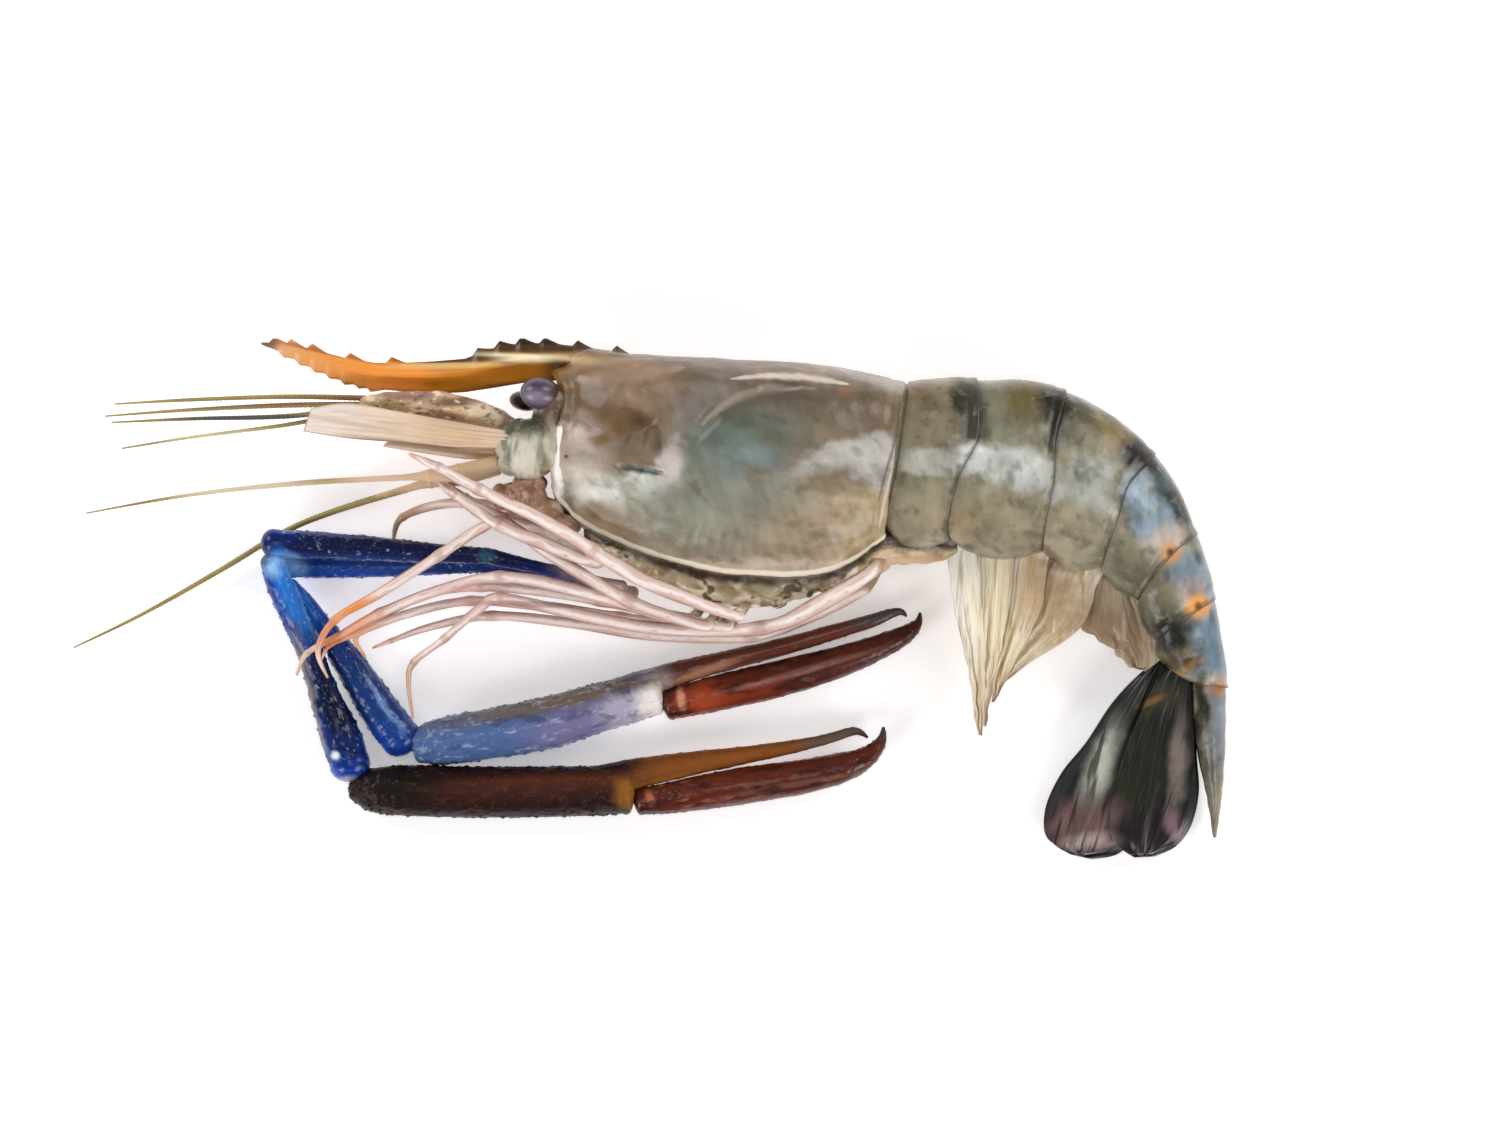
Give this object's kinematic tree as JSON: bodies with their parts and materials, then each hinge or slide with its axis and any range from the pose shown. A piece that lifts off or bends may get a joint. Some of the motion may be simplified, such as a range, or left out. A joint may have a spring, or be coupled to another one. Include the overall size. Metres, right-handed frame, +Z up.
{
  "type": "raw prawn",
  "caption": "Raw big head prawn lying on its side, with a toothed beak, long folded claws, feelers, a ringed curled tail and a tail fan.",
  "frame": {"origin": "on the small flat of the head shell's cheek, where the prawn lying on its right side touches the table", "axes": "+X from the beak to the tail, +Y from the belly to the back, +Z up from the table to the side that is seen"},
  "size_m": [0.232, 0.1047, 0.0375],
  "materials": {
    "head_shell": "wet taupe and olive shell, blue-green along the side, orange along the beak",
    "tail_shell": "wet olive and grey-green shell with pale blue-white sheen along the side",
    "under_body": "wet cream and grey-green flesh with brown gaps",
    "eye": "glossy purple-grey eye",
    "mouth": "wet brown-pink mouth parts",
    "feeler": "thin olive and tan feelers",
    "feeler_scale": "pale pinkish half-clear blade with fine streaks",
    "blue_claw": "glossy deep blue shell with small spines",
    "brown_claw": "near-black brown shell, rough with small spines",
    "claw_finger": "dark maroon shell with dark grey tips",
    "leg": "pale pink thin shell with orange tips",
    "swimmeret": "wet cream leaves with tan streaks",
    "tail_fan": "wet black-green and mauve blades"
  },
  "bodies": {
    "root": {"carapace": "head_shell", "feeler_base_left": "head_shell", "feeler_base_right": "head_shell", "eye_left": "eye", "eye_right": "eye", "mouth_parts": "mouth", "thorax": "under_body", "abdomen_1": "tail_shell", "abdomen_2": "tail_shell", "abdomen_3": "tail_shell", "abdomen_4": "tail_shell", "abdomen_5": "tail_shell", "abdomen_6": "tail_shell", "telson": "tail_shell", "uropod_outer_left": "tail_fan", "uropod_inner_left": "tail_fan", "uropod_outer_right": "tail_fan", "uropod_inner_right": "tail_fan", "swimmeret_1_left": "swimmeret", "swimmeret_2_left": "swimmeret", "swimmeret_3_left": "swimmeret", "swimmeret_4_left": "swimmeret", "swimmeret_5_left": "swimmeret", "swimmeret_1_right": "swimmeret", "swimmeret_2_right": "swimmeret", "swimmeret_3_right": "swimmeret", "swimmeret_4_right": "swimmeret", "swimmeret_5_right": "swimmeret", "claw_left_ischium": "blue_claw", "claw_left_merus": "blue_claw", "claw_left_carpus": "blue_claw", "claw_left_palm": "brown_claw", "claw_left_finger": "claw_finger", "claw_right_ischium": "blue_claw", "claw_right_merus": "blue_claw", "claw_right_carpus": "blue_claw", "claw_right_palm": "blue_claw", "claw_right_finger": "claw_finger", "leg1_left": "leg", "leg1_right": "leg", "leg3_left": "leg", "leg3_right": "leg", "leg4_left": "leg", "leg4_right": "leg", "leg5_left": "leg", "leg5_right": "leg", "maxilliped_left": "leg", "maxilliped_right": "leg", "antenna_left": "feeler", "antenna_right": "feeler", "antennule_left": "feeler", "antennule_right": "feeler", "feeler_scale_left": "feeler_scale", "feeler_scale_right": "feeler_scale"}
  },
  "joints": []
}
